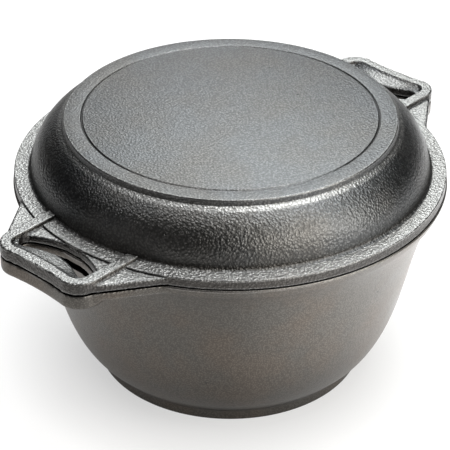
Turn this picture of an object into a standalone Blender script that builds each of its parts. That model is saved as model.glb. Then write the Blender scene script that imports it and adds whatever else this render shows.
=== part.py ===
"""Cast iron pot closed by a second casting, a shallow skillet that lies upside down on it as its lid.

Metres, +Z up. The origin is the centre of the pot's foot, on the surface that it stands on. The two
loop handles of each casting lie along X. Each casting is one turned body with its handles joined on.
A handle is drawn once, in its own frame: u runs out along X, v across it, and h away from the parting
plane between the two castings, up on the lid and down on the pot.
"""

import math

import bmesh
import bpy

MM = 0.001

# Driving dimensions of the turned bodies
POT_RIM_RADIUS = 140.2 * MM
LID_RIM_RADIUS = 138.9 * MM
POT_HEIGHT = 134.1 * MM
CLOSED_HEIGHT = 176.2 * MM
SEAT_GAP = 0.3 * MM
WALL = 3.9 * MM
FLOOR = 4.6 * MM
EDGE = 0.8 * MM
SEGMENTS = 72

# Pot: the wall flares towards a drafted band round the rim, and the cavity has a curve of its own
FOOT_RADIUS = 88.9 * MM
FOOT_HEIGHT = 7.2 * MM
FOOT_ROUND = 1.5 * MM
BAND_HEIGHT = 7.3 * MM
BAND_FOOT_RADIUS = 137.4 * MM
WALL_START = (90.1 * MM, 8.4 * MM)
WALL_START_ANGLE = math.radians(39)
WALL_START_REACH = 38 * MM
WALL_TOP_RADIUS = 135.2 * MM
WALL_END_ANGLE = math.radians(61)
WALL_END_REACH = 39 * MM
CAVITY_START_REACH = 30 * MM
CAVITY_TOP_RADIUS = 128.4 * MM
CAVITY_END_ANGLE = math.radians(74)
CAVITY_END_REACH = 50 * MM
MOUTH_RADIUS = 129.9 * MM
SEAT_DEPTH = 3.2 * MM

# Lid, a skillet lying on its face
BASE_RADIUS = 106.4 * MM
GROOVE_RADIUS = 94.6 * MM
GROOVE_WIDTH = 1.8 * MM
GROOVE_DEPTH = 0.7 * MM
BASE_STEP = 3.7 * MM
FLANGE_HEIGHT = 6.6 * MM
DOME_START = (107.8 * MM, 171.9 * MM)
DOME_START_ANGLE = math.radians(-29)
DOME_START_REACH = 14 * MM
DOME_END = (128.0 * MM, 144.2 * MM)
DOME_END_ANGLE = math.radians(-82)
DOME_END_REACH = 12.5 * MM
LIP_RADIUS = 129.5 * MM
LIP_WIDTH = 4.3 * MM
LIP_DEPTH = 2.8 * MM

# Loop handle, in its own frame
RELIEF = 0.4 * MM
WEB_HEIGHT = 5.3 * MM
POT_RIB_HEIGHT = 10.2 * MM
POT_RIB_ROUND = 2.2 * MM
LID_RIB_HEIGHT = 8.5 * MM
LID_RIB_ROUND = 1.1 * MM
BAR_OUT = 169.4 * MM
BAR_HOLLOW = 1.6 * MM
BAR_WIDTH = 6.6 * MM
BAR_STRAIGHT = 24.5 * MM
LEG_OUTER = 38.7 * MM
LEG_INNER = 31.2 * MM
OUTER_CORNER = 14 * MM
INNER_CORNER = 8 * MM
WEB_EDGE_POINT = (160.0 * MM, 38.5 * MM)
WEB_EDGE_ANGLE = math.radians(145.5)
WEB_BLEND = 50 * MM
WEB_RIM_RADIUS = 137.2 * MM
WEB_INSET = 0.8 * MM
WEB_TURN_MARGIN = math.radians(7)
SLOT_CENTRE = 144.8 * MM
SLOT_BEND = 8.8 * MM
SLOT_BEND_AT = 28 * MM
SLOT_HALF_LENGTH = 25.0 * MM
SLOT_WIDTH = 12.0 * MM
GRIP_DROP = 0.35 * MM
GRIP_BITE = 1.3 * MM
GRIP_FALL = 2.8 * MM
OVERLAP = 2.0 * MM
POT_HANDLE_ROOT = MOUTH_RADIUS + 1.0 * MM
LID_HANDLE_ROOT = LIP_RADIUS - 4.0 * MM


def clear_scene():
    for leftover in list(bpy.data.objects):
        bpy.data.objects.remove(leftover, do_unlink=True)


def iron(name, colour, roughness):
    """Seasoned cast iron: nearly black, with the soft gloss of baked oil."""
    material = bpy.data.materials.new(name)
    material.use_nodes = True
    shader = material.node_tree.nodes["Principled BSDF"]
    shader.inputs["Base Color"].default_value = (*colour, 1)
    shader.inputs["Roughness"].default_value = roughness
    shader.inputs["Metallic"].default_value = 0.3
    return material


def steps(first, last, count):
    return [first + (last - first) * i / count for i in range(count + 1)]


def arc(centre, radius, start, end, count):
    """Points on an arc, from one angle to another."""
    turns = steps(start, end, count)
    return [(centre[0] + radius * math.cos(a), centre[1] + radius * math.sin(a)) for a in turns]


def bezier(start, start_angle, start_reach, end, end_angle, end_reach, count):
    """Points and inward normals of one cubic curve, which leaves and arrives at the given angles."""
    leave = (start[0] + start_reach * math.cos(start_angle), start[1] + start_reach * math.sin(start_angle))
    arrive = (end[0] - end_reach * math.cos(end_angle), end[1] - end_reach * math.sin(end_angle))
    found = []
    for t in steps(0, 1, count):
        s = 1 - t
        weights = (s**3, 3 * s * s * t, 3 * s * t * t, t**3)
        slopes = (-3 * s * s, 3 * s * s - 6 * s * t, 6 * s * t - 3 * t * t, 3 * t * t)
        cage = (start, leave, arrive, end)
        point = [sum(w * p[i] for w, p in zip(weights, cage)) for i in (0, 1)]
        slope = [sum(w * p[i] for w, p in zip(slopes, cage)) for i in (0, 1)]
        length = math.hypot(*slope)
        found.append((point[0], point[1], slope[1] / length, -slope[0] / length))
    return found


def places(curve):
    """A curve's points without their normals."""
    return [(r, z) for r, z, _, _ in curve]


def floor_corner(start, turn, floor):
    """The arc from a flat floor to the start of a wall that leaves it at the given turn."""
    radius = abs(start[1] - floor) / (1 - math.cos(turn))
    up = math.copysign(radius, start[1] - floor)
    return [
        (start[0] - radius * (math.sin(turn) - math.sin(a)), floor + up * (1 - math.cos(a)))
        for a in steps(0, turn, 4)[:-1]
    ]


def pot_profile():
    """Radius and height, from the centre of the foot round the outside and back to the floor's centre."""
    band_bottom = POT_HEIGHT - BAND_HEIGHT
    end = (WALL_TOP_RADIUS, band_bottom - EDGE)
    outer = bezier(WALL_START, WALL_START_ANGLE, WALL_START_REACH, end, WALL_END_ANGLE, WALL_END_REACH, 10)
    ledge = POT_HEIGHT - SEAT_DEPTH
    across, up = -WALL * math.sin(WALL_START_ANGLE), WALL * math.cos(WALL_START_ANGLE)
    first = (WALL_START[0] + across, WALL_START[1] + up)
    last = (CAVITY_TOP_RADIUS, ledge - EDGE)
    inner = bezier(first, WALL_START_ANGLE, CAVITY_START_REACH, last, CAVITY_END_ANGLE, CAVITY_END_REACH, 10)
    foot_round = arc((FOOT_RADIUS - FOOT_ROUND, FOOT_ROUND), FOOT_ROUND, -math.pi / 2, 0, 2)
    band = [
        (WALL_TOP_RADIUS + EDGE, band_bottom),
        (BAND_FOOT_RADIUS, band_bottom),
        (BAND_FOOT_RADIUS + EDGE, band_bottom + EDGE),
        (POT_RIM_RADIUS, POT_HEIGHT - EDGE),
        (POT_RIM_RADIUS - EDGE, POT_HEIGHT),
    ]
    mouth = [
        (MOUTH_RADIUS + EDGE, POT_HEIGHT),
        (MOUTH_RADIUS, POT_HEIGHT - EDGE),
        (MOUTH_RADIUS, ledge),
        (CAVITY_TOP_RADIUS + EDGE, ledge),
    ]
    outside = [(0, 0), *foot_round, (FOOT_RADIUS, FOOT_HEIGHT), *places(outer), *band]
    floor = floor_corner(first, WALL_START_ANGLE, FLOOR)
    return [*outside, *mouth, *reversed(places(inner)), *reversed(floor), (0, FLOOR)]


def lid_profile():
    """Radius and height, from the centre of the base on top, down the outside and up inside."""
    seat = POT_HEIGHT + SEAT_GAP
    floor = CLOSED_HEIGHT - FLOOR
    dome = bezier(DOME_START, DOME_START_ANGLE, DOME_START_REACH, DOME_END, DOME_END_ANGLE, DOME_END_REACH, 7)
    inner = [(r + WALL * nr, z + WALL * nz) for r, z, nr, nz in dome]
    flange_top = seat + FLANGE_HEIGHT
    fillet = DOME_END[1] - flange_top
    foot = arc((DOME_END[0] + fillet, DOME_END[1]), fillet, math.pi, 1.5 * math.pi, 3)
    base = [
        (0, CLOSED_HEIGHT),
        (GROOVE_RADIUS - GROOVE_WIDTH / 2, CLOSED_HEIGHT),
        (GROOVE_RADIUS, CLOSED_HEIGHT - GROOVE_DEPTH),
        (GROOVE_RADIUS + GROOVE_WIDTH / 2, CLOSED_HEIGHT),
        (BASE_RADIUS - EDGE, CLOSED_HEIGHT),
        (BASE_RADIUS, CLOSED_HEIGHT - EDGE),
        (BASE_RADIUS + EDGE / 2, CLOSED_HEIGHT - BASE_STEP),
    ]
    flange = [
        (LID_RIM_RADIUS - EDGE, flange_top),
        (LID_RIM_RADIUS, flange_top - EDGE),
        (LID_RIM_RADIUS, seat + EDGE),
        (LID_RIM_RADIUS - EDGE, seat),
    ]
    lip = [
        (LIP_RADIUS, seat),
        (LIP_RADIUS, seat - LIP_DEPTH + EDGE),
        (LIP_RADIUS - EDGE, seat - LIP_DEPTH),
        (LIP_RADIUS - LIP_WIDTH + EDGE, seat - LIP_DEPTH),
        (LIP_RADIUS - LIP_WIDTH, seat - LIP_DEPTH + EDGE),
    ]
    corner = floor_corner(inner[0], -DOME_START_ANGLE, floor)
    return [*base, *places(dome), *foot[1:], *flange, *lip, *reversed(inner), *reversed(corner), (0, floor)]


def turned(name, profile):
    """A solid of revolution about Z from a profile that starts and ends on the axis."""
    mesh = bmesh.new()
    line = [mesh.verts.new((r, 0, z)) for r, z in profile]
    edges = [mesh.edges.new(pair) for pair in zip(line, line[1:])]
    turn = {"cent": (0, 0, 0), "axis": (0, 0, 1), "angle": math.tau, "steps": SEGMENTS}
    bmesh.ops.spin(mesh, geom=line + edges, use_merge=True, **turn)
    bmesh.ops.remove_doubles(mesh, verts=mesh.verts, dist=1e-6)
    return finished(name, mesh)


def finished(name, mesh):
    """The bmesh as an object, with its faces pointing out."""
    bmesh.ops.recalc_face_normals(mesh, faces=mesh.faces)
    data = bpy.data.meshes.new(name)
    mesh.to_mesh(data)
    mesh.free()
    return bpy.data.objects.new(name, data)


def normals_of(outline):
    """Outward normals of a closed outline that runs anticlockwise."""
    found = []
    for before, after in zip(outline[-1:] + outline[:-1], outline[1:] + outline[:1]):
        du, dv = after[0] - before[0], after[1] - before[1]
        length = math.hypot(du, dv)
        found.append((dv / length, -du / length))
    return found


def lofted(name, outline, levels, place):
    """A solid through copies of an outline: each level is a height and the inset of the outline there."""
    mesh = bmesh.new()
    normals = normals_of(outline)
    rings = []
    for height, inset in levels:
        points = [(u - inset * nu, v - inset * nv) for (u, v), (nu, nv) in zip(outline, normals)]
        rings.append([mesh.verts.new(place(u, v, height)) for u, v in points])
    for low, high in zip(rings, rings[1:]):
        for i in range(len(outline)):
            mesh.faces.new((low[i - 1], low[i], high[i], high[i - 1]))
    mesh.faces.new(rings[0])
    mesh.faces.new(rings[-1])
    return finished(name, mesh)


def bar_edge(v):
    """Outer edge of the handle's bar, drawn in a little at the middle."""
    return BAR_OUT + BAR_HOLLOW * (v / BAR_STRAIGHT) ** 2


def slot_line(v):
    """Middle line of the finger slot, which bends outwards at its ends."""
    return SLOT_CENTRE + SLOT_BEND * (v / SLOT_BEND_AT) ** 2


def on_circle(radius, v):
    return math.sqrt(radius**2 - v**2)


def rib_outline(root):
    """The raised rib, shaped as a U: two legs out of the wall, round corners and the bar between them."""
    far = bar_edge(BAR_STRAIGHT)
    outer_centre = (far - OUTER_CORNER, LEG_OUTER - OUTER_CORNER)
    inner_centre = (far - BAR_WIDTH - INNER_CORNER, LEG_INNER - INNER_CORNER)
    outer = [(bar_edge(v), v) for v in steps(0, outer_centre[1], 4)]
    outer += arc(outer_centre, OUTER_CORNER, 0, math.pi / 2, 6)[1:]
    outer.append((on_circle(root, LEG_OUTER), LEG_OUTER))
    inner = [(on_circle(root, LEG_INNER), LEG_INNER)]
    inner += arc(inner_centre, INNER_CORNER, math.pi / 2, 0, 5)
    inner += [(bar_edge(v) - BAR_WIDTH, v) for v in steps(inner_centre[1], 0, 4)[1:]]
    half = outer + inner
    mirrored = [(u, -v) for u, v in reversed(half)]
    return half + mirrored[1:-1]


def web_outline(root):
    """The flat web: just inside the bar's edge, out at the corners in a line, then blended along the rim."""
    along = (math.cos(WEB_EDGE_ANGLE), math.sin(WEB_EDGE_ANGLE))
    outward = (along[1], -along[0])
    base = [WEB_EDGE_POINT[i] + WEB_BLEND * outward[i] for i in (0, 1)]
    reach = WEB_RIM_RADIUS + WEB_BLEND
    half_b = base[0] * along[0] + base[1] * along[1]
    run = -half_b - math.sqrt(half_b**2 - base[0] ** 2 - base[1] ** 2 + reach**2)
    centre = [base[i] + run * along[i] for i in (0, 1)]
    start = math.atan2(-outward[1], -outward[0])
    end = math.atan2(-centre[1], -centre[0])
    corner = (bar_edge(BAR_STRAIGHT) - OUTER_CORNER, LEG_OUTER - OUTER_CORNER)
    edge = [(bar_edge(v) - WEB_INSET, v) for v in steps(0, corner[1], 3)]
    turn = arc(corner, OUTER_CORNER - WEB_INSET, 0, WEB_EDGE_ANGLE - math.pi / 2 - WEB_TURN_MARGIN, 3)
    blend = arc(centre, WEB_BLEND, start, end, 6)
    tip = math.atan2(blend[-1][1], blend[-1][0])
    inside = arc((0, 0), root, tip, 0, 14)
    half = [*edge, *turn[1:], WEB_EDGE_POINT, *blend, *inside]
    mirrored = [(u, -v) for u, v in reversed(half)]
    return half + mirrored[1:-1]


def slot_outline():
    """The finger hole: a slot of even width along a bent line, with round ends."""
    lean = math.atan(2 * SLOT_BEND * SLOT_HALF_LENGTH / SLOT_BEND_AT**2)
    half = SLOT_WIDTH / 2
    near, far = [], []
    for v in steps(-SLOT_HALF_LENGTH, SLOT_HALF_LENGTH, 10):
        turn = math.atan(2 * SLOT_BEND * v / SLOT_BEND_AT**2)
        near.append((slot_line(v) + half * math.cos(turn), v - half * math.sin(turn)))
        far.append((slot_line(v) - half * math.cos(turn), v + half * math.sin(turn)))
    end = (slot_line(SLOT_HALF_LENGTH), SLOT_HALF_LENGTH)
    cap = arc(end, half, -lean, math.pi - lean, 6)[1:-1]
    other = arc((end[0], -end[1]), half, math.pi + lean, math.tau + lean, 6)[1:-1]
    return [*near, *cap, *reversed(far), *other]


def grip_slope(name, place, rib_height):
    """The smooth slope inside the bar, from the rib's top down to the slot's near lip."""
    mesh = bmesh.new()
    rings = []
    reach = LEG_INNER + OVERLAP / 2
    low = RELIEF + OVERLAP
    high = rib_height - GRIP_DROP
    for v in steps(-reach, reach, 14):
        top = bar_edge(min(abs(v), BAR_STRAIGHT)) - BAR_WIDTH + GRIP_BITE
        lip = slot_line(v) + SLOT_WIDTH / 2
        inner = slot_line(v)
        foot = high - GRIP_FALL * (top - inner) / (top - lip)
        section = [(top, low), (top, high), (inner, foot), (inner, low)]
        rings.append([mesh.verts.new(place(u, v, h)) for u, h in section])
    for one, other in zip(rings, rings[1:]):
        for i in range(len(one)):
            mesh.faces.new((one[i - 1], one[i], other[i], other[i - 1]))
    mesh.faces.new(rings[0])
    mesh.faces.new(rings[-1])
    return finished(name, mesh)


def handle_solids(tag, place, root, rib_height, rib_round):
    """The solids that make one loop handle, and the cutter of its finger hole."""
    web = [(RELIEF, EDGE / 2), (RELIEF + EDGE / 2, 0), (WEB_HEIGHT - EDGE / 2, 0), (WEB_HEIGHT, EDGE / 2)]
    rib = [
        (RELIEF + EDGE / 2, EDGE / 2),
        (RELIEF + EDGE, 0),
        (rib_height - rib_round, 0),
        (rib_height - rib_round * 0.3, rib_round * 0.3),
        (rib_height, rib_round),
    ]
    solids = [
        lofted(f"{tag}_web", web_outline(root), web, place),
        lofted(f"{tag}_rib", rib_outline(root + EDGE / 2), rib, place),
        grip_slope(f"{tag}_grip_slope", place, rib_height),
    ]
    through = [(-2 * OVERLAP, 0), (rib_height + 2 * OVERLAP, 0)]
    return solids, lofted(f"{tag}_finger_hole", slot_outline(), through, place)


def joined(body, helper, operation):
    """One Boolean step. The helper stays in the file, shown as wires and left out of the render."""
    bpy.context.scene.collection.objects.link(helper)
    helper.hide_render = True
    helper.display_type = "WIRE"
    modifier = body.modifiers.new(helper.name, "BOOLEAN")
    modifier.object = helper
    modifier.operation = operation
    modifier.solver = "EXACT"


def casting(name, profile, plane, direction, handle, material):
    """One casting: the turned body, both handles joined on, then both finger holes cut."""
    body = turned(name, profile)
    bpy.context.scene.collection.objects.link(body)
    body.data.materials.append(material)
    for number, facing in ((1, 1), (2, -1)):

        def place(u, v, h, facing=facing):
            return (facing * u, facing * v, plane + direction * h)

        solids, hole = handle_solids(f"{name}_handle_{number}", place, *handle)
        for solid in solids:
            joined(body, solid, "UNION")
        joined(body, hole, "DIFFERENCE")
    body.data.shade_smooth()
    body.data.set_sharp_from_angle(angle=math.radians(35))
    return body


def main():
    clear_scene()
    pot_iron = iron("seasoned iron, pot", (0.035, 0.033, 0.031), 0.5)
    lid_iron = iron("seasoned iron, lid", (0.04, 0.04, 0.04), 0.45)
    pot_handle = (POT_HANDLE_ROOT, POT_RIB_HEIGHT, POT_RIB_ROUND)
    lid_handle = (LID_HANDLE_ROOT, LID_RIB_HEIGHT, LID_RIB_ROUND)
    casting("pot", pot_profile(), POT_HEIGHT, -1, pot_handle, pot_iron)
    casting("skillet_lid", lid_profile(), POT_HEIGHT + SEAT_GAP, 1, lid_handle, lid_iron)


main()
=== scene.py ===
"""Looks of a round cast iron pot and of the shallow skillet that lies upside down on it as its lid.

Metres, +Z up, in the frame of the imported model: the origin is the centre of the pot's foot, and the loop
handles lie along X. Each casting is one closed mesh. Geometry Nodes turn its wall from a profile and set
its two handles round the axis. A handle is drawn in its own frame: u runs out along X, v across it, and h
away from the parting plane between the castings, up on the lid and down on the pot.
"""

import logging
import math
from dataclasses import dataclass
from enum import Enum
from typing import Sequence

import bmesh
import bpy
from mathutils import Matrix, Vector

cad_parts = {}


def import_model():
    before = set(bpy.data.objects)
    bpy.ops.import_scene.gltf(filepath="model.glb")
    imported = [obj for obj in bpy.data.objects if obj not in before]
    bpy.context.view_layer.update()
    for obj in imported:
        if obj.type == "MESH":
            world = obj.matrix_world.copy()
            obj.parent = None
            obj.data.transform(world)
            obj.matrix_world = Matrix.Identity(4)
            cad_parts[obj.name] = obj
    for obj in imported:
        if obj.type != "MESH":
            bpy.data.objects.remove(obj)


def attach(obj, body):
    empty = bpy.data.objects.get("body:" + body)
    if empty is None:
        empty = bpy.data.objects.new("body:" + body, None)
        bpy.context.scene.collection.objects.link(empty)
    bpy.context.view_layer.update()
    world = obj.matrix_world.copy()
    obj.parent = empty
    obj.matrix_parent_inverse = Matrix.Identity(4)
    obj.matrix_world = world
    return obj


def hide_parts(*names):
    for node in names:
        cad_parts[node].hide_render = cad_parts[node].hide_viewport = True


MM = 0.001
LOG = logging.getLogger("castings")

# Points that lie closer than this are one point.
MERGED_WITHIN = 0.001 * MM
# Half of a corner's angle above which it needs no fillet.
NEARLY_STRAIGHT = math.radians(88)
# The most that a fillet turns from one of its points to the next.
FILLET_STEP = math.radians(14)

Point = tuple[float, float]
# Radius, height and fillet radius.
Corner = tuple[float, float, float]
# Red, green and blue.
Colour = tuple[float, float, float]


class Side(Enum):
    """The way that a casting's handles build up from the parting plane."""

    UP = 1
    DOWN = -1


def spaced(first: float, last: float, count: int) -> list[float]:
    """Even steps from first to last, both included.

    Args:
        first: The first value.
        last: The last value.
        count: How many steps lie between them.

    Returns:
        count + 1 values.
    """
    return [first + (last - first) * i / count for i in range(count + 1)]


def arc(centre: Point, radius: float, start: float, end: float, count: int) -> list[Point]:
    """Points on an arc.

    Args:
        centre: The arc's centre.
        radius: The arc's radius.
        start: The first angle, in radians.
        end: The last angle.
        count: How many steps lie between them.

    Returns:
        The points, from the first angle to the last.
    """
    points = []
    for angle in spaced(start, end, count):
        points.append((centre[0] + radius * math.cos(angle), centre[1] + radius * math.sin(angle)))
    return points


def bezier(
    start: Point, leave: float, reach: float, end: Point, arrive: float, end_reach: float, count: int = 28
) -> list[Point]:
    """Points of a cubic curve that leaves and arrives at given angles.

    Args:
        start: The first point.
        leave: The angle at which the curve leaves it, in degrees.
        reach: How far the first control point lies from the start.
        end: The last point.
        arrive: The angle at which the curve arrives there, in degrees.
        end_reach: How far the second control point lies from the end.
        count: How many steps the curve has.

    Returns:
        The points, start and end included.
    """
    out, into = math.radians(leave), math.radians(arrive)
    first = Vector(start)
    second = first + reach * Vector((math.cos(out), math.sin(out)))
    fourth = Vector(end)
    third = fourth - end_reach * Vector((math.cos(into), math.sin(into)))
    found = []
    for t in spaced(0, 1, count):
        s = 1 - t
        found.append(tuple(s**3 * first + 3 * s * s * t * second + 3 * s * t * t * third + t**3 * fourth))
    return found


def inset(curve: Sequence[Point], distance: float) -> list[Point]:
    """A curve moved sideways, to the left of its direction for a positive distance.

    Args:
        curve: The points of the curve.
        distance: How far each point moves.

    Returns:
        The moved points.
    """
    moved = []
    ends = [curve[0], *curve, curve[-1]]
    for before, point, after in zip(ends, curve, ends[2:]):
        along = (Vector(after) - Vector(before)).normalized()
        moved.append((point[0] - along.y * distance, point[1] + along.x * distance))
    return moved


def sharp(points: Sequence[Point]) -> list[Corner]:
    """Corners with no fillet, one at each point."""
    return [(r, z, 0.0) for r, z in points]


def filleted(corners: Sequence[Corner]) -> list[Point]:
    """A line through corners, with an arc in place of each corner that has a fillet.

    Args:
        corners: Radius, height and fillet radius of each corner, in order.

    Returns:
        The points of the line.
    """
    line = [corners[0][:2]]
    for before, corner, after in zip(corners, corners[1:], corners[2:]):
        here = Vector(corner[:2])
        back = (Vector(before[:2]) - here).normalized()
        ahead = (Vector(after[:2]) - here).normalized()
        half = back.angle(ahead) / 2
        if corner[2] == 0 or half > NEARLY_STRAIGHT:
            line.append(tuple(here))
            continue
        centre = here + (back + ahead).normalized() * (corner[2] / math.sin(half))
        foot = here + back * (corner[2] / math.tan(half)) - centre
        turn = math.pi - 2 * half
        sign = 1 if back.x * ahead.y - back.y * ahead.x < 0 else -1
        start = math.atan2(foot.y, foot.x)
        count = max(3, math.ceil(turn / FILLET_STEP))
        line += arc(tuple(centre), corner[2], start, start + sign * turn, count)
    return [*line, corners[-1][:2]]


def new_object(name: str, mesh: bmesh.types.BMesh) -> bpy.types.Object:
    """Turns a bmesh into an object of the scene, with its doubles merged and its faces pointing out.

    Args:
        name: The object's name.
        mesh: The bmesh, which is freed.

    Returns:
        The object.
    """
    bmesh.ops.remove_doubles(mesh, verts=mesh.verts, dist=MERGED_WITHIN)
    bmesh.ops.recalc_face_normals(mesh, faces=mesh.faces)
    data = bpy.data.meshes.new(name)
    mesh.to_mesh(data)
    mesh.free()
    made = bpy.data.objects.new(name, data)
    bpy.context.scene.collection.objects.link(made)
    return made


def baked(made: bpy.types.Object) -> bpy.types.Object:
    """Replaces an object's mesh by what its modifiers make of it, and removes them.

    Args:
        made: The object.

    Returns:
        The same object.
    """
    evaluated = made.evaluated_get(bpy.context.evaluated_depsgraph_get())
    data = bpy.data.meshes.new_from_object(evaluated)
    made.modifiers.clear()
    made.data = data
    data.name = made.name
    return made


@dataclass
class NodeTree:
    """Builds a node tree with few words: each call adds one node and links it to what came before.

    Attributes:
        tree: The tree that the nodes are added to.
    """

    tree: bpy.types.NodeTree

    def add(self, kind: str, links: dict | None = None, **settings: object) -> bpy.types.Node:
        """Adds a node.

        Args:
            kind: The node's type.
            links: Input name or number to a value or an output socket.
            settings: Attributes of the node.

        Returns:
            The node.
        """
        node = self.tree.nodes.new(kind)
        for name, value in settings.items():
            setattr(node, name, value)
        for key, value in (links or {}).items():
            if isinstance(value, bpy.types.NodeSocket):
                self.tree.links.new(value, node.inputs[key])
            else:
                node.inputs[key].default_value = value
        return node

    def maths(self, operation: str, *values: object) -> bpy.types.NodeSocket:
        """Adds a Math node and returns its value."""
        return self.add("ShaderNodeMath", dict(enumerate(values)), operation=operation).outputs[0]

    def mix(self, share: object, first: object, second: object, blend: str = "MIX") -> bpy.types.NodeSocket:
        """Adds a colour Mix node and returns its colour."""
        node = self.add("ShaderNodeMix", {0: share, 6: first, 7: second}, data_type="RGBA", blend_type=blend)
        return node.outputs[2]

    def ramp(
        self, value: object, start: object, end: object, low: float = 0.0, high: float = 1.0
    ) -> bpy.types.NodeSocket:
        """Adds a Map Range node that runs from low to high while its value runs from start to end."""
        return self.add("ShaderNodeMapRange", {"Value": value, 1: start, 2: end, 3: low, 4: high}).outputs[0]

    def group(self, group: bpy.types.NodeTree, **values: object) -> bpy.types.NodeOutputs:
        """Places a node group with its own values and returns its outputs."""
        return self.add("ShaderNodeGroup", values, node_tree=group).outputs


def group_tree(name: str, kind: str, sockets: Sequence[tuple[str, str, str, object]]) -> NodeTree:
    """Makes a node group with named sockets.

    Args:
        name: The group's name.
        kind: GeometryNodeTree or ShaderNodeTree.
        sockets: Name, IN or OUT, socket type and default of each socket.

    Returns:
        The tree.
    """
    tree = bpy.data.node_groups.new(name, kind)
    for label, way, socket_type, default in sockets:
        socket = tree.interface.new_socket(name=label, in_out=f"{way}PUT", socket_type=socket_type)
        if default is not None:
            socket.default_value = default
    return NodeTree(tree)


def casting_tree() -> bpy.types.NodeTree:
    """A tree that turns a profile into a closed wall and sets handles round its axis.

    Returns:
        The tree, with inputs for the segments, the handle, how many handles there are and the iron.
    """
    made = group_tree(
        "turned casting",
        "GeometryNodeTree",
        [
            ("Geometry", "IN", "NodeSocketGeometry", None),
            ("Segments", "IN", "NodeSocketInt", 192),
            ("Handle", "IN", "NodeSocketObject", None),
            ("Handles", "IN", "NodeSocketInt", 2),
            ("Iron", "IN", "NodeSocketMaterial", None),
            ("Geometry", "OUT", "NodeSocketGeometry", None),
        ],
    )
    given = made.add("NodeGroupInput").outputs
    profile = given["Geometry"]
    size = made.add("GeometryNodeAttributeDomainSize", {"Geometry": profile}).outputs["Point Count"]
    columns = made.maths("ADD", given["Segments"], 1)
    grid = made.add("GeometryNodeMeshGrid", {"Vertices X": columns, "Vertices Y": size}).outputs["Mesh"]
    index = made.add("GeometryNodeInputIndex").outputs[0]
    column = made.maths("FLOOR", made.maths("DIVIDE", made.maths("ADD", index, 0.5), size))
    row = made.maths("SUBTRACT", index, made.maths("MULTIPLY", column, size))
    sampled = made.add(
        "GeometryNodeSampleIndex",
        {"Geometry": profile, "Value": made.add("GeometryNodeInputPosition").outputs[0], "Index": row},
        data_type="FLOAT_VECTOR",
    ).outputs[0]
    angle = made.maths("DIVIDE", made.maths("MULTIPLY", column, math.tau), given["Segments"])
    about = {"Vector": sampled, "Angle": angle}
    turned = made.add("ShaderNodeVectorRotate", about, rotation_type="Z_AXIS").outputs[0]
    wall = made.add("GeometryNodeSetPosition", {"Geometry": grid, "Position": turned}).outputs[0]
    merge = {"Geometry": wall, "Distance": 2 * MERGED_WITHIN}
    closed = made.add("GeometryNodeMergeByDistance", merge).outputs[0]
    places = made.add("GeometryNodePoints", {"Count": given["Handles"]}).outputs[0]
    step = made.maths("DIVIDE", math.tau, given["Handles"])
    heading = made.add("ShaderNodeCombineXYZ", {"Z": made.maths("MULTIPLY", index, step)}).outputs[0]
    rotation = made.add("FunctionNodeEulerToRotation", {0: heading}).outputs[0]
    handle = made.add("GeometryNodeObjectInfo", {"Object": given["Handle"]}).outputs["Geometry"]
    placing = {"Points": places, "Instance": handle, "Rotation": rotation}
    around = made.add("GeometryNodeInstanceOnPoints", placing).outputs[0]
    real = made.add("GeometryNodeRealizeInstances", {"Geometry": around}).outputs[0]
    union = made.add("GeometryNodeMeshBoolean", operation="UNION", solver="MANIFOLD")
    made.tree.links.new(closed, union.inputs["Mesh 2"])
    made.tree.links.new(real, union.inputs["Mesh 2"])
    smooth = made.add("GeometryNodeSetShadeSmooth", {"Geometry": union.outputs["Mesh"]}).outputs[0]
    whole = made.add("GeometryNodeRealizeInstances", {"Geometry": smooth}).outputs[0]
    dressed = made.add("GeometryNodeSetMaterial", {"Geometry": whole, "Material": given["Iron"]}).outputs[0]
    made.add("NodeGroupOutput", {"Geometry": dressed})
    return made.tree


def with_tree(made: bpy.types.Object, tree: bpy.types.NodeTree, **values: object) -> bpy.types.Object:
    """Runs a Geometry Nodes tree on an object and keeps the result as its mesh.

    Args:
        made: The object.
        tree: The tree.
        values: Input name to value.

    Returns:
        The object.
    """
    modifier = made.modifiers.new(tree.name, "NODES")
    modifier.node_group = tree
    for item in tree.interface.items_tree:
        if item.in_out == "INPUT" and item.name in values:
            modifier[item.identifier] = values[item.name]
    return baked(made)


def shader_group(
    name: str, inputs: dict[str, float], outputs: Sequence[str]
) -> tuple[NodeTree, bpy.types.NodeOutputs]:
    """Makes a shader node group that works in the piece's own space.

    Args:
        name: The group's name.
        inputs: Name and default of each number that it takes.
        outputs: Name of each number that it gives.

    Returns:
        The tree, and its inputs by name.
    """
    sockets = [("Vector", "IN", "NodeSocketVector", None)]
    sockets += [(label, "IN", "NodeSocketFloat", value) for label, value in inputs.items()]
    sockets += [(label, "OUT", "NodeSocketFloat", None) for label in outputs]
    made = group_tree(name, "ShaderNodeTree", sockets)
    return made, made.add("NodeGroupInput").outputs


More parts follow.
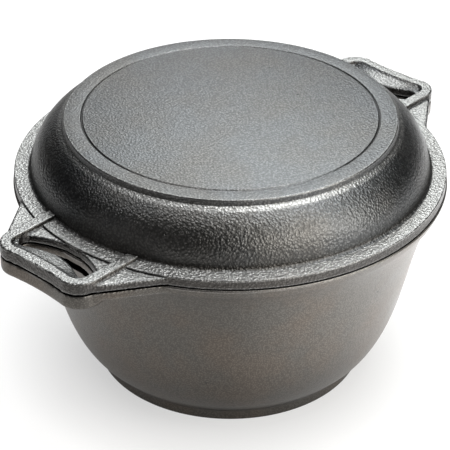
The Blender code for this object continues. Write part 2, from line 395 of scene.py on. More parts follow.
def grain_group() -> bpy.types.NodeTree:
    """The sand's print: round pebbles with a finer grit. It gives a height in metres and a mask of tops.

    Returns:
        The group's tree.
    """
    grit_share = 0.5
    valley, crest = -0.35, 0.15
    sizes = {"Pebble": 1.6 * MM, "Grit": 0.5 * MM, "Depth": 0.1 * MM}
    made, given = shader_group("sand grain", sizes, ["Height", "Tops"])
    pebble_scale = made.maths("DIVIDE", 1.0, given["Pebble"])
    rounds = {"Vector": given["Vector"], "Scale": pebble_scale, "Smoothness": 0.4}
    pebbles = made.add("ShaderNodeTexVoronoi", rounds, feature="SMOOTH_F1").outputs["Distance"]
    grit_scale = made.maths("DIVIDE", 1.0, given["Grit"])
    specks = {"Vector": given["Vector"], "Scale": grit_scale, "Detail": 1.0}
    grit = made.add("ShaderNodeTexNoise", specks).outputs[0]
    rise = made.maths("SUBTRACT", made.maths("MULTIPLY", grit, grit_share), pebbles)
    tops = made.ramp(rise, valley, crest)
    made.add("NodeGroupOutput", {"Height": made.maths("MULTIPLY", rise, given["Depth"]), "Tops": tops})
    return made.tree


def pits_group() -> bpy.types.NodeTree:
    """Small casting pits: a share of scattered cells holds one. It gives a mask that is 1 in a pit.

    Returns:
        The group's tree.
    """
    flat_share = 0.4
    sizes = {"Spacing": 16 * MM, "Radius": 0.9 * MM, "Share": 0.3}
    made, given = shader_group("casting pits", sizes, ["Pit"])
    scale = made.maths("DIVIDE", 1.0, given["Spacing"])
    scattered = {"Vector": given["Vector"], "Scale": scale}
    cells = made.add("ShaderNodeTexVoronoi", scattered, feature="F1").outputs
    away = made.maths("MULTIPLY", cells["Distance"], given["Spacing"])
    bottom = made.maths("MULTIPLY", given["Radius"], flat_share)
    inside = made.ramp(away, bottom, given["Radius"], 1.0, 0.0)
    chance = made.add("ShaderNodeSeparateColor", {0: cells["Color"]}).outputs[0]
    chosen = made.maths("LESS_THAN", chance, given["Share"])
    made.add("NodeGroupOutput", {"Pit": made.maths("MULTIPLY", inside, chosen)})
    return made.tree


def seasoning_group() -> bpy.types.NodeTree:
    """Where the seasoning lies thicker or browner: soft cloudy patches, from 0 to 1.

    Returns:
        The group's tree.
    """
    made, given = shader_group("seasoning", {"Size": 60 * MM, "From": 0.42, "To": 0.62}, ["Patches"])
    scale = made.maths("DIVIDE", 1.0, given["Size"])
    billows = {"Vector": given["Vector"], "Scale": scale, "Detail": 5.0, "Roughness": 0.6}
    cloud = made.add("ShaderNodeTexNoise", billows).outputs[0]
    made.add("NodeGroupOutput", {"Patches": made.ramp(cloud, given["From"], given["To"])})
    return made.tree


def edges_group() -> bpy.types.NodeTree:
    """Lighter edges, and painted shade in creases and hollows, from how much iron lies close by. Each goes
    from 0 to 1.

    An edge or a hollow counts only the piece itself. A crease counts the other pieces too, so that the seam
    between the pot and its lid is dark.

    Returns:
        The group's tree.
    """
    made = group_tree(
        "edges and creases",
        "ShaderNodeTree",
        [
            ("Width", "IN", "NodeSocketFloat", 2.0 * MM),
            ("Depth", "IN", "NodeSocketFloat", 14 * MM),
            ("Edge", "OUT", "NodeSocketFloat", None),
            ("Crease", "OUT", "NodeSocketFloat", None),
            ("Hollow", "OUT", "NodeSocketFloat", None),
        ],
    )
    given = made.add("NodeGroupInput").outputs
    found = {}
    blend = 0.3
    wanted = (
        ("Edge", "Width", True, True, 0.85),
        ("Crease", "Width", False, False, 0.85),
        ("Hollow", "Depth", False, True, 0.72),
    )
    for label, reach, inside, alone, start in wanted:
        looked = {"Distance": given[reach]}
        near = made.add("ShaderNodeAmbientOcclusion", looked, inside=inside, only_local=alone, samples=6)
        found[label] = made.ramp(near.outputs["AO"], start, start - blend)
    made.add("NodeGroupOutput", found)
    return made.tree


@dataclass(frozen=True)
class IronGroups:
    """The shared effects of the two castings, built once.

    Attributes:
        grain: The sand's print.
        pits: Small casting pits.
        seasoning: Browner clouds.
        edges: Lighter edges, and painted shade in creases and hollows.
    """

    grain: bpy.types.NodeTree
    pits: bpy.types.NodeTree
    seasoning: bpy.types.NodeTree
    edges: bpy.types.NodeTree


@dataclass(frozen=True)
class Masks:
    """Where the iron differs over a casting. All but facing go from 0 to 1.

    Attributes:
        facing: How far the surface faces up, from -1 to 1.
        coarse: The zone with the coarser sand.
        patches: Browner clouds in the seasoning.
        tops: The tops of the sand grain.
        pit: The casting pits.
        edge: Edges, lighter from wear and partly as a painted highlight.
        crease: Creases and the seam, where painted shade goes.
        hollow: Hollows, where painted shade goes.
    """

    facing: bpy.types.NodeSocket
    coarse: bpy.types.NodeSocket
    patches: bpy.types.NodeSocket
    tops: bpy.types.NodeSocket
    pit: bpy.types.NodeSocket
    edge: bpy.types.NodeSocket
    crease: bpy.types.NodeSocket
    hollow: bpy.types.NodeSocket


@dataclass(frozen=True)
class CastIron:
    """Seasoned cast iron: nearly black, with a sand-cast grain, soft oily gloss, lighter edges from wear, and
    painted light and shade.

    Attributes:
        name: The material's name.
        colour: The seasoned iron.
        brown: The browner patches.
        wear_and_highlight: Lighter edges, from wear and partly a painted highlight, and a painted highlight
            on the coarse zone's flats.
        roughness: Roughness of the finer zone.
        pebble: Size of the sand's round marks.
        depth: Depth of the grain.
        patch_size: Size of the brown patches.
        pit_share: Share of the places for a pit that have one.
        coarse_below: Height below which the grain is coarser.
        coarse: The grain's depth there, as a multiple of depth.
        fine_above: Height above which the grain is finer.
        fine: The grain's depth there, as a multiple of depth.
        painted_light: How strong the painted highlight on the coarse zone's flats and the painted shade on
            its sides are.
        painted_glint: How much lighter the grain's tops and darker its valleys are, as painted glints and
            painted shade.
        painted_side_shade: Painted shade on the coarse zone's upright sides.
        side_shade_share: How far it covers them.
        shade_and_pit_colour: Painted shade in creases and hollows, and the darker colour of pits.
        shade_and_pit_share: How far it covers them.
        pit_depth: Depth of a pit.
        grit_share: Size of the finer grit, as a share of pebble.
        patch_dull: How much rougher the brown patches are.
        coarse_dull: How much rougher the coarse zone is for each step of coarse above 1.
    """

    name: str
    colour: Colour
    brown: Colour
    wear_and_highlight: Colour
    roughness: float
    pebble: float
    depth: float
    patch_size: float
    pit_share: float
    coarse_below: float = 0.0
    coarse: float = 1.0
    fine_above: float = 1.0
    fine: float = 1.0
    painted_light: float = 0.0
    painted_glint: float = 0.35
    painted_side_shade: Colour = (0.055, 0.048, 0.042)
    side_shade_share: float = 0.8
    shade_and_pit_colour: Colour = (0.01, 0.01, 0.01)
    shade_and_pit_share: float = 0.92
    pit_depth: float = 0.3 * MM
    grit_share: float = 0.35
    patch_dull: float = 0.04
    coarse_dull: float = 0.1

    def grain_depth(
        self, tree: NodeTree, height: bpy.types.NodeSocket, coarse: bpy.types.NodeSocket
    ) -> bpy.types.NodeSocket:
        """Depth of the grain, deeper in the coarse zone and shallower in the fine one.

        Args:
            tree: The material's tree.
            height: Height on the casting.
            coarse: The coarse zone.

        Returns:
            The depth in metres.
        """
        deeper = tree.ramp(coarse, 0.0, 1.0, self.depth, self.depth * self.coarse)
        blend = 0.5 * MM
        finer = tree.ramp(height, self.fine_above - blend, self.fine_above + blend, 1.0, self.fine)
        return tree.maths("MULTIPLY", deeper, finer)

    def tint(self, tree: NodeTree, masks: Masks) -> bpy.types.NodeSocket:
        """Colour of the iron: seasoning, wear, darker pits, and painted shade, highlights and glints.

        Args:
            tree: The material's tree.
            masks: Where the iron differs.

        Returns:
            The colour.
        """
        colour = tree.mix(masks.patches, (*self.colour, 1), (*self.brown, 1))
        sloping, upright = 0.6, 0.3
        nearly_level, level = 0.955, 0.99
        # Painted shade: the coarse zone's upright sides are darkened, standing in for the shade that falls on
        # them.
        below = tree.ramp(masks.facing, -sloping, -upright)
        side = tree.maths("MULTIPLY", tree.ramp(masks.facing, sloping, upright), below)
        side = tree.maths("MULTIPLY", tree.maths("MULTIPLY", masks.coarse, side), self.painted_light)
        colour = tree.mix(tree.maths("MULTIPLY", side, self.side_shade_share), colour, (*self.painted_side_shade, 1))
        # Painted highlight: the coarse zone's flats are lightened, standing in for the light that falls on
        # them; edges are lighter from wear and partly as a painted highlight.
        top = tree.ramp(masks.facing, nearly_level, level, 0.0, self.painted_light)
        flat = tree.maths("MULTIPLY", masks.coarse, top)
        colour = tree.mix(tree.maths("MAXIMUM", masks.edge, flat), colour, (*self.wear_and_highlight, 1))
        # Painted shade in creases, the seam and hollows, where shade falls, and darker pits.
        shaded_or_pitted = tree.maths("MAXIMUM", tree.maths("MAXIMUM", masks.crease, masks.pit), masks.hollow)
        colour = tree.mix(tree.maths("MULTIPLY", shaded_or_pitted, self.shade_and_pit_share), colour, (*self.shade_and_pit_colour, 1))
        # Painted glints on the grain's tops and painted shade in its valleys.
        lighter = tree.ramp(masks.tops, 0.0, 1.0, 1 - self.painted_glint, 1 + self.painted_glint)
        return tree.mix(1.0, colour, lighter, "MULTIPLY")

    def material(self, groups: IronGroups) -> bpy.types.Material:
        """Builds the material.

        Args:
            groups: The shared effects.

        Returns:
            The material.
        """
        made = bpy.data.materials.new(self.name)
        made.use_nodes = True
        tree = NodeTree(made.node_tree)
        shader = made.node_tree.nodes["Principled BSDF"]
        shader.inputs["Metallic"].default_value = 1.0
        coordinates = tree.add("ShaderNodeTexCoord").outputs
        where = coordinates["Object"]
        height = tree.add("ShaderNodeSeparateXYZ", {0: where}).outputs[2]
        facing = tree.add("ShaderNodeSeparateXYZ", {0: coordinates["Normal"]}).outputs[2]
        coarse = tree.ramp(height, self.coarse_below - 1 * MM, self.coarse_below + 1 * MM, 1.0, 0.0)
        depth = self.grain_depth(tree, height, coarse)
        grit = self.grit_share * self.pebble
        grain = tree.group(groups.grain, Vector=where, Pebble=self.pebble, Grit=grit, Depth=depth)
        pit = tree.group(groups.pits, Vector=where, Share=self.pit_share)["Pit"]
        patches = tree.group(groups.seasoning, Vector=where, Size=self.patch_size)["Patches"]
        near = tree.group(groups.edges)
        close = (near["Edge"], near["Crease"], near["Hollow"])
        masks = Masks(facing, coarse, patches, grain["Tops"], pit, *close)
        relief = tree.maths("ADD", grain["Height"], tree.maths("MULTIPLY", pit, -self.pit_depth))
        bump = tree.add("ShaderNodeBump", {"Strength": 1.0, "Distance": 1.0, "Height": relief}).outputs[0]
        gloss = tree.maths("MULTIPLY_ADD", patches, self.patch_dull, self.roughness)
        gloss = tree.maths("MULTIPLY_ADD", coarse, self.coarse_dull * (self.coarse - 1), gloss)
        for name, source in (("Base Color", self.tint(tree, masks)), ("Roughness", gloss), ("Normal", bump)):
            made.node_tree.links.new(source, shader.inputs[name])
        return made


@dataclass
class LoopHandle:
    """One loop handle: a flat web, a raised U-shaped rib, a slope for the fingers and a bent finger slot.

    Attributes:
        plane: Height of the parting plane.
        side: The way that the handle builds up from it.
        relief: Gap between the handle and the parting plane.
        web_height: Height of the web's face over the plane.
        rib_height: Height of the rib's face over the plane.
        rib_round: Radius of the rib's far edges, or 0 for the plain soft edge.
        bar_out: How far from the axis the bar's middle lies on the outside.
        bar_hollow: How much less that is than at the ends of its straight part.
        bar_width: Width of the bar.
        bar_straight: Half length of the bar's straight part.
        leg_outer: How far the legs' outsides lie from the middle.
        leg_inner: How far their insides lie from the middle.
        outer_corner: Radius of the rib's outer corners.
        inner_corner: Radius of its inner corners.
        web_edge: Where the web comes out from under the rib.
        web_angle: Direction of the web's edge from there.
        web_blend: Radius with which that edge runs into the rim.
        rim: Radius at which it gets there.
        slot_centre: How far from the axis the slot's middle line lies.
        slot_bend: How far the line bends outwards.
        slot_bend_at: Where across the handle it has done so.
        slot_half: Half length of the slot's middle line.
        slot_width: Width of the slot.
        grip_drop: How far below the rib's face the grip slope begins.
        grip_fall: How far it has fallen at the slot.
        tuck: How far one form reaches into the next, so that they join.
        voxel: Size of the remeshed skin's faces.
    """

    plane: float
    side: Side
    relief: float = 0.4 * MM
    web_height: float = 5.3 * MM
    rib_height: float = 8.5 * MM
    rib_round: float = 0.0
    bar_out: float = 169.4 * MM
    bar_hollow: float = 1.6 * MM
    bar_width: float = 6.6 * MM
    bar_straight: float = 24.5 * MM
    leg_outer: float = 38.7 * MM
    leg_inner: float = 31.2 * MM
    outer_corner: float = 14 * MM
    inner_corner: float = 8 * MM
    web_edge: Point = (160.0 * MM, 38.5 * MM)
    web_angle: float = math.radians(145.5)
    web_blend: float = 50 * MM
    rim: float = 137.2 * MM
    slot_centre: float = 144.8 * MM
    slot_bend: float = 8.8 * MM
    slot_bend_at: float = 28 * MM
    slot_half: float = 25.0 * MM
    slot_width: float = 12.0 * MM
    grip_drop: float = 0.4 * MM
    grip_fall: float = 2.9 * MM
    tuck: float = 0.5 * MM
    voxel: float = 0.7 * MM

    def bar_edge(self, v: float) -> float:
        """Outer edge of the bar, drawn in a little at the middle."""
        return self.bar_out + self.bar_hollow * (v / self.bar_straight) ** 2

    def slot_line(self, v: float) -> float:
        """Middle line of the finger slot, which bends outwards at its ends."""
        return self.slot_centre + self.slot_bend * (v / self.slot_bend_at) ** 2

    def rib_outline(self, root: float) -> list[Point]:
        """The raised rib: two legs out of the wall, round corners and the bar between them.

        Args:
            root: How far from the axis the legs begin.

        Returns:
            The closed outline.
        """
        far = self.bar_edge(self.bar_straight)
        outer = (far - self.outer_corner, self.leg_outer - self.outer_corner)
        inner = (far - self.bar_width - self.inner_corner, self.leg_inner - self.inner_corner)
        half = [(self.bar_edge(v), v) for v in spaced(0, outer[1], 10)]
        half += arc(outer, self.outer_corner, 0, math.pi / 2, 16)[1:]
        half += [(math.sqrt(root**2 - v**2), v) for v in spaced(self.leg_outer, self.leg_inner, 4)]
        half += arc(inner, self.inner_corner, math.pi / 2, 0, 12)
        half += [(self.bar_edge(v) - self.bar_width, v) for v in spaced(inner[1], 0, 10)[1:]]
        return half + [(u, -v) for u, v in reversed(half)][1:-1]

    def web_outline(self, root: float) -> list[Point]:
        """The flat web: inside the bar's edge, out at the corners in a line, then blended along the rim.

        Args:
            root: How far from the axis the web begins.

        Returns:
            The closed outline.
        """
        along = Vector((math.cos(self.web_angle), math.sin(self.web_angle)))
        outward = Vector((along.y, -along.x))
        base = Vector(self.web_edge) + self.web_blend * outward
        half_b = base.dot(along)
        run = -half_b - math.sqrt(half_b**2 - base.length_squared + (self.rim + self.web_blend) ** 2)
        centre = base + run * along
        corner = (self.bar_edge(self.bar_straight) - self.outer_corner, self.leg_outer - self.outer_corner)
        half = [(self.bar_edge(v) - self.tuck, v) for v in spaced(0, corner[1], 8)]
        short_of_edge = 0.12
        turn = self.web_angle - math.pi / 2 - short_of_edge
        half += arc(corner, self.outer_corner - self.tuck, 0, turn, 8)[1:]
        half.append(self.web_edge)
        start = math.atan2(-outward.y, -outward.x)
        half += arc(tuple(centre), self.web_blend, start, math.atan2(-centre.y, -centre.x), 20)
        tip = math.atan2(half[-1][1], half[-1][0])
        half += arc((0, 0), root, tip, 0, 30)
        return half + [(u, -v) for u, v in reversed(half)][1:-1]

    def slot_outline(self) -> list[Point]:
        """The finger slot, of even width along its bent line, with round ends.

        Returns:
            The closed outline.
        """
        half = self.slot_width / 2
        near, far = [], []
        for v in spaced(-self.slot_half, self.slot_half, 24):
            turn = math.atan(2 * self.slot_bend * v / self.slot_bend_at**2)
            middle = Vector((self.slot_line(v), v))
            across = half * Vector((math.cos(turn), -math.sin(turn)))
            near.append(tuple(middle + across))
            far.append(tuple(middle - across))
        end = (self.slot_line(self.slot_half), self.slot_half)
        cap = arc(end, half, -turn, math.pi - turn, 14)[1:-1]
        other = arc((end[0], -end[1]), half, math.pi + turn, math.tau + turn, 14)[1:-1]
        return [*near, *cap, *reversed(far), *other]

    def place(self, u: float, v: float, h: float) -> Vector:
        """A point of the handle's frame in the model's frame."""
        return Vector((u, v, self.plane + self.side.value * h))

    def prism(self, mesh: bmesh.types.BMesh, outline: Sequence[Point], low: float, high: float) -> None:
        """Adds a straight solid over an outline.

        Args:
            mesh: The bmesh that gets it.
            outline: The closed outline.
            low: Height of its lower face.
            high: Height of its upper face.
        """
        self.skin(mesh, [self.ring(mesh, outline, h, 0.0) for h in (low, high)])

    def ring(
        self, mesh: bmesh.types.BMesh, outline: Sequence[Point], h: float, deep: float
    ) -> list[bmesh.types.BMVert]:
        """Adds the points of an outline at one height.

        Args:
            mesh: The bmesh that gets them.
            outline: The closed outline.
            h: Height of the points.
            deep: How far they are set in from the outline.

        Returns:
            The points.
        """
        closed = [outline[-1], *outline, outline[0]]
        moved = inset(closed, deep)[1:-1] if deep else outline
        return [mesh.verts.new(self.place(u, v, h)) for u, v in moved]

    @staticmethod
    def skin(mesh: bmesh.types.BMesh, rings: Sequence[Sequence[bmesh.types.BMVert]]) -> None:
        """Joins closed rings of points into a solid with a face at each end.

        Args:
            mesh: The bmesh that gets the faces.
            rings: The rings, from one end to the other, with the same number of points each.
        """
        for low, high in zip(rings, rings[1:]):
            for i in range(len(low)):
                mesh.faces.new((low[i - 1], low[i], high[i], high[i - 1]))
        mesh.faces.new(rings[0])
        mesh.faces.new(rings[-1])

    def grip_slope(self, mesh: bmesh.types.BMesh) -> None:
        """Adds the smooth slope inside the bar, from the rib's top down to the slot's near lip.

        Args:
            mesh: The bmesh that gets it.
        """
        under_bar = 1.3 * MM
        inside_web = 1.2 * MM
        reach = self.leg_inner + 2 * self.tuck
        low = self.relief + inside_web
        high = self.rib_height - self.grip_drop
        rings = []
        for v in spaced(-reach, reach, 36):
            top = self.bar_edge(min(abs(v), self.bar_straight)) - self.bar_width + under_bar
            inner = self.slot_line(v)
            foot = high - self.grip_fall * (top - inner) / (top - inner - self.slot_width / 2)
            section = [(top, low), (top, high), (inner, foot), (inner, low)]
            rings.append([mesh.verts.new(self.place(u, v, h)) for u, h in section])
        self.skin(mesh, rings)

    def rib_levels(self) -> list[Point]:
        """The levels of the rib, from the parting plane to its face.

        Returns:
            Height and inset of each ring of points.
        """
        levels = [(self.relief, 0.0), (self.rib_height - self.rib_round, 0.0)]
        if self.rib_round:
            for turn in spaced(math.pi / 8, math.pi / 2, 3):
                height = self.rib_height - self.rib_round * (1 - math.sin(turn))
                levels.append((height, self.rib_round * (1 - math.cos(turn))))
        return levels

    def build(self, name: str, root: float) -> bpy.types.Object:
        """Builds the handle as cast: in one, with soft edges.

        Args:
            name: The object's name.
            root: How far from the axis the legs and the web begin.

        Returns:
            The handle at +X.
        """
        mesh = bmesh.new()
        self.prism(mesh, self.web_outline(root), self.relief, self.web_height)
        outline = self.rib_outline(root + self.tuck)
        self.skin(mesh, [self.ring(mesh, outline, h, deep) for h, deep in self.rib_levels()])
        self.grip_slope(mesh)
        handle = new_object(name, mesh)
        self.remesh(handle)
        cutter = bmesh.new()
        past = 6 * MM
        self.prism(cutter, self.slot_outline(), -past, self.rib_height + past)
        slot = new_object(f"{name}_slot", cutter)
        cut = handle.modifiers.new("finger slot", "BOOLEAN")
        cut.object = slot
        cut.operation = "DIFFERENCE"
        cut.solver = "MANIFOLD"
        baked(handle)
        bpy.data.objects.remove(slot)
        self.remesh(handle)
        soften = handle.modifiers.new("soft edges", "SMOOTH")
        soften.factor = 0.5
        soften.iterations = 5
        return baked(handle)

    def remesh(self, handle: bpy.types.Object) -> None:
        """Rebuilds a handle as one even closed skin.

        Args:
            handle: The handle.
        """
        skin = handle.modifiers.new("one skin", "REMESH")
        skin.mode = "VOXEL"
        skin.voxel_size = self.voxel
        baked(handle)


@dataclass
class Casting:
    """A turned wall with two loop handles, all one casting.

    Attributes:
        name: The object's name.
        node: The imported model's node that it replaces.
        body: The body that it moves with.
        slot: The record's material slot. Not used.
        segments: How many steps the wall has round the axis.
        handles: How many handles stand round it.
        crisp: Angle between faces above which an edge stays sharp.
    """

    name: str
    node: str
    body: str
    slot: str
    segments: int = 216
    handles: int = 2
    crisp: float = math.radians(40)

    def cast(
        self, profile: Sequence[Point], handle: bpy.types.Object, iron: bpy.types.Material
    ) -> bpy.types.Object:
        """Turns the profile, joins the handles on and puts the casting on its body.

        Args:
            profile: Radius and height, from the axis round the section and back to the axis.
            handle: The handle at +X.
            iron: The casting's material.

        Returns:
            The casting.
        """
        line = bmesh.new()
        points = [line.verts.new((r, 0, z)) for r, z in profile]
        for pair in zip(points, points[1:]):
            line.edges.new(pair)
        data = bpy.data.meshes.new(self.name)
        line.to_mesh(data)
        line.free()
        made = bpy.data.objects.new(self.name, data)
        bpy.context.scene.collection.objects.link(made)
        values = {"Segments": self.segments, "Handle": handle, "Handles": self.handles, "Iron": iron}
        with_tree(made, casting_tree(), **values)
        bpy.data.objects.remove(handle)
        made.data.set_sharp_from_angle(angle=self.crisp)
        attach(made, self.body)
        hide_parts(self.node)
        LOG.info("%s: %d faces", self.name, len(made.data.polygons))
        return made


@dataclass
class Pot(Casting):
    """The pot: a flat foot, a curved wall, a thick band round the rim and a seat for the lid in the mouth.

    Attributes:
        rim: Radius of the rim.
        height: Height of the rim's face.
        foot: Radius of the foot.
        foot_height: Height of the foot's own edge.
        floor: Thickness of the floor.
        floor_corner: Radius inside, where the floor's round corner would come to a point.
        wall: Thickness of the wall at the foot.
        wall_from: Radius and height at which the curved wall begins.
        wall_rise: Angle at which it begins, in degrees.
        wall_end: Angle at which it ends.
        wall_reaches: How far its two control points reach.
        wall_top: Radius at which it ends, under the band.
        band: Height of the band's lower edge.
        band_foot: Radius of the band there.
        mouth: Radius of the mouth.
        ledge: Height of the seat in the mouth.
        inner_top: Radius of the inside just under the seat.
        inner_end: Angle at which the inside's curve ends there.
        inner_reaches: How far that curve's control points reach.
        short: How far a curve stops short of the corner after it.
        edge: Usual radius of a cast edge.
        root_past_mouth: How far outside the mouth the handles begin.
    """

    rim: float = 140.2 * MM
    height: float = 134.1 * MM
    foot: float = 88.9 * MM
    foot_height: float = 7.4 * MM
    floor: float = 4.6 * MM
    floor_corner: float = 78 * MM
    wall: float = 3.9 * MM
    wall_from: Point = (90.1 * MM, 8.4 * MM)
    wall_rise: float = 39
    wall_end: float = 61
    wall_reaches: Point = (38 * MM, 39 * MM)
    wall_top: float = 135.2 * MM
    band: float = 126.8 * MM
    band_foot: float = 137.4 * MM
    mouth: float = 129.9 * MM
    ledge: float = 130.9 * MM
    inner_top: float = 128.4 * MM
    inner_end: float = 74
    inner_reaches: Point = (30 * MM, 50 * MM)
    short: float = 0.8 * MM
    edge: float = 0.9 * MM
    root_past_mouth: float = 1.6 * MM

    def profile(self) -> list[Point]:
        """The pot's section, from the centre of the foot round the outside and back inside.

        Returns:
            Radius and height of each point.
        """
        start = self.wall_from
        end = (self.wall_top, self.band - self.short)
        reach, end_reach = self.wall_reaches
        outer = bezier(start, self.wall_rise, reach, end, self.wall_end, end_reach)
        turn = math.radians(self.wall_rise)
        start = (start[0] - self.wall * math.sin(turn), start[1] + self.wall * math.cos(turn))
        end = (self.inner_top, self.ledge - self.short)
        reach, end_reach = self.inner_reaches
        inner = bezier(start, self.wall_rise, reach, end, self.inner_end, end_reach)
        # The points of a curve that lie where a fillet beside it goes are left out.
        outside = [
            (0, 0, 0),
            (self.foot, 0, 1.4 * MM),
            (self.foot + 0.2 * MM, self.foot_height, 4.5 * MM),
            *sharp(outer[3:-1]),
            (*outer[-1], 1.3 * MM),
            (self.band_foot, self.band + 0.5 * MM, self.edge),
            (self.rim, self.height, self.edge),
        ]
        inside = [
            (self.mouth, self.height, 0.8 * MM),
            (self.mouth, self.ledge, 0.5 * MM),
            (inner[-1][0], self.ledge, 0.8 * MM),
            *sharp(reversed(inner[2:-1])),
            (self.floor_corner, self.floor, 24 * MM),
            (0, self.floor, 0),
        ]
        return filleted([*outside, *inside])

    def build(self, iron: bpy.types.Material) -> bpy.types.Object:
        """Builds the pot.

        Args:
            iron: The pot's material.

        Returns:
            The casting.
        """
        handle = LoopHandle(plane=self.height, side=Side.DOWN, rib_height=10.2 * MM, rib_round=2.0 * MM)
        made = handle.build("pot_handle", self.mouth + self.root_past_mouth)
        return self.cast(self.profile(), made, iron)


@dataclass
class SkilletLid(Casting):
    """The lid, a skillet on its face: a flat base with a ring groove, a domed wall, a flange and a lip.

    Attributes:
        rim: Radius of the flange.
        seat: Height of the flange's underside, on the pot's rim.
        top: Height of the base, which faces up.
        base: Radius of the base.
        groove: Radius of the ring groove in the base.
        groove_half: Half width of the groove.
        groove_depth: Depth of the groove.
        step: Height at which the base's edge meets the domed wall.
        dome_from: Radius and height at which the domed wall's curve begins.
        dome_to: Radius and height at which it ends.
        dome_falls: Angles at which it begins and ends, in degrees.
        dome_reaches: How far its two control points reach.
        flange: Height of the flange's face.
        wall: Thickness of the wall.
        floor: Thickness of the base.
        floor_corner: Radius inside, where the base's round corner would come to a point.
        lip: Outer radius of the lip that sits in the pot's mouth.
        lip_width: Width of the lip.
        lip_foot: Height of the lip's lower face.
        edge: Usual radius of a cast edge.
        root_in_lip: How far inside the lip's outer radius the handles begin.
    """

    rim: float = 138.9 * MM
    seat: float = 134.4 * MM
    top: float = 176.2 * MM
    base: float = 106.4 * MM
    groove: float = 94.6 * MM
    groove_half: float = 0.9 * MM
    groove_depth: float = 0.7 * MM
    step: float = 172.6 * MM
    dome_from: Point = (107.8 * MM, 171.9 * MM)
    dome_to: Point = (128.0 * MM, 144.2 * MM)
    dome_falls: Point = (-29, -82)
    dome_reaches: Point = (14 * MM, 12.5 * MM)
    flange: float = 141.0 * MM
    wall: float = 3.9 * MM
    floor: float = 4.6 * MM
    floor_corner: float = 108 * MM
    lip: float = 129.5 * MM
    lip_width: float = 4.3 * MM
    lip_foot: float = 131.6 * MM
    edge: float = 0.9 * MM
    root_in_lip: float = 3.6 * MM

    def profile(self) -> list[Point]:
        """The lid's section, from the centre of its inside to the lip, the rim and the middle of the base.

        Returns:
            Radius and height of each point.
        """
        leave, arrive = self.dome_falls
        reach, end_reach = self.dome_reaches
        dome = bezier(self.dome_from, leave, reach, self.dome_to, arrive, end_reach)
        inner = inset(dome, -self.wall)
        ceiling = self.top - self.floor
        # The points of a curve that lie where a fillet beside it goes are left out.
        outside = [
            (0, self.top, 0),
            (self.groove - self.groove_half, self.top, 0.4 * MM),
            (self.groove, self.top - self.groove_depth, 0.2 * MM),
            (self.groove + self.groove_half, self.top, 0.4 * MM),
            (self.base, self.top, self.edge),
            (self.base + 0.5 * MM, self.step, 0.7 * MM),
            *sharp(dome[2:-1]),
            (*dome[-1], 0),
            (self.dome_to[0] + 0.5 * MM, self.flange, 2.4 * MM),
            (self.rim, self.flange, 0.7 * MM),
            (self.rim, self.seat, self.edge),
        ]
        inside = [
            (self.lip, self.seat, 0.4 * MM),
            (self.lip, self.lip_foot, 0.7 * MM),
            (self.lip - self.lip_width, self.lip_foot, 1.0 * MM),
            *sharp(reversed(inner[6:])),
            (self.floor_corner, ceiling, 9 * MM),
            (0, ceiling, 0),
        ]
        # The wall's faces point out when the section runs up the outside, so it is turned round here.
        return filleted([*outside, *inside])[::-1]

    def build(self, iron: bpy.types.Material) -> bpy.types.Object:
        """Builds the lid.

        Args:
            iron: The lid's material.

        Returns:
            The casting.
        """
        handle = LoopHandle(plane=self.seat, side=Side.UP)
        made = handle.build("lid_handle", self.lip - self.root_in_lip)
        return self.cast(self.profile(), made, iron)


def direction(azimuth: float, elevation: float) -> Vector:
    """The unit vector at an azimuth, from +X towards +Y, and an elevation, both in radians."""
    level = math.cos(elevation)
    return Vector((level * math.cos(azimuth), level * math.sin(azimuth), math.sin(elevation)))


@dataclass(frozen=True)
class View:
    """The photograph's camera, in the model's frame.

    Attributes:
        target: The point that it looks at.
        distance: How far from there it stands.
        azimuth: Its direction from there, from +X towards +Y.
        elevation: Its height over the horizon, as an angle.
        roll: How far it leans.
        lens: Focal length in mm.
        sensor: Width of its sensor in mm.
    """

    target: tuple[float, float, float] = (-0.0022, 0.0024, 0.0925)
    distance: float = 1.2515
    azimuth: float = math.radians(-137.21)
    elevation: float = math.radians(32.08)
    roll: float = math.radians(0.27)
    lens: float = 152.0
    sensor: float = 36.0

    def build(self) -> bpy.types.Object:
        """Makes the camera and gives it to the scene.

        Returns:
            The camera.
        """
        back = direction(self.azimuth, self.elevation)
        right = (-back).cross(Vector((0, 0, 1))).normalized()
        up = right.cross(-back)
        c, s = math.cos(self.roll), math.sin(self.roll)
        axes = (c * right + s * up, c * up - s * right, back)
        turn = Matrix([[axis[i] for axis in axes] for i in range(3)]).to_4x4()
        data = bpy.data.cameras.new("camera")
        data.lens = self.lens
        data.sensor_width = self.sensor
        camera = bpy.data.objects.new("camera", data)
        camera.matrix_world = Matrix.Translation(Vector(self.target) + self.distance * back) @ turn
        bpy.context.scene.collection.objects.link(camera)
        bpy.context.scene.camera = camera
        return camera


@dataclass(frozen=True)
class Lamp:
    """One soft panel of the studio, aimed at the pot's middle.

    Attributes:
        name: The lamp's name.
        azimuth: Its direction from the pot, in degrees from +X towards +Y.
        elevation: Its height over the horizon, in degrees.
        width: Width of the panel.
        height: Height of the panel.
        power: Its power in watts.
        colour: Colour of its light.
        distance: How far from the pot it stands.
        aim: Height over the floor of the point that it aims at.
    """

    name: str
    azimuth: float
    elevation: float
    width: float
    height: float
    power: float
    colour: Colour = (1.0, 1.0, 1.0)
    distance: float = 2.0
    aim: float = 0.1

    def build(self) -> bpy.types.Object:
        """Makes the lamp.

        Returns:
            The lamp.
        """
        data = bpy.data.lights.new(self.name, "AREA")
        data.shape = "RECTANGLE"
        data.size = self.width
        data.size_y = self.height
        data.energy = self.power
        data.color = self.colour
        lamp = bpy.data.objects.new(self.name, data)
        towards = direction(math.radians(self.azimuth), math.radians(self.elevation))
        lamp.location = Vector((0, 0, self.aim)) + self.distance * towards
        lamp.rotation_mode = "QUATERNION"
        lamp.rotation_quaternion = (-towards).to_track_quat("-Z", "Y")
        bpy.context.scene.collection.objects.link(lamp)
        return lamp


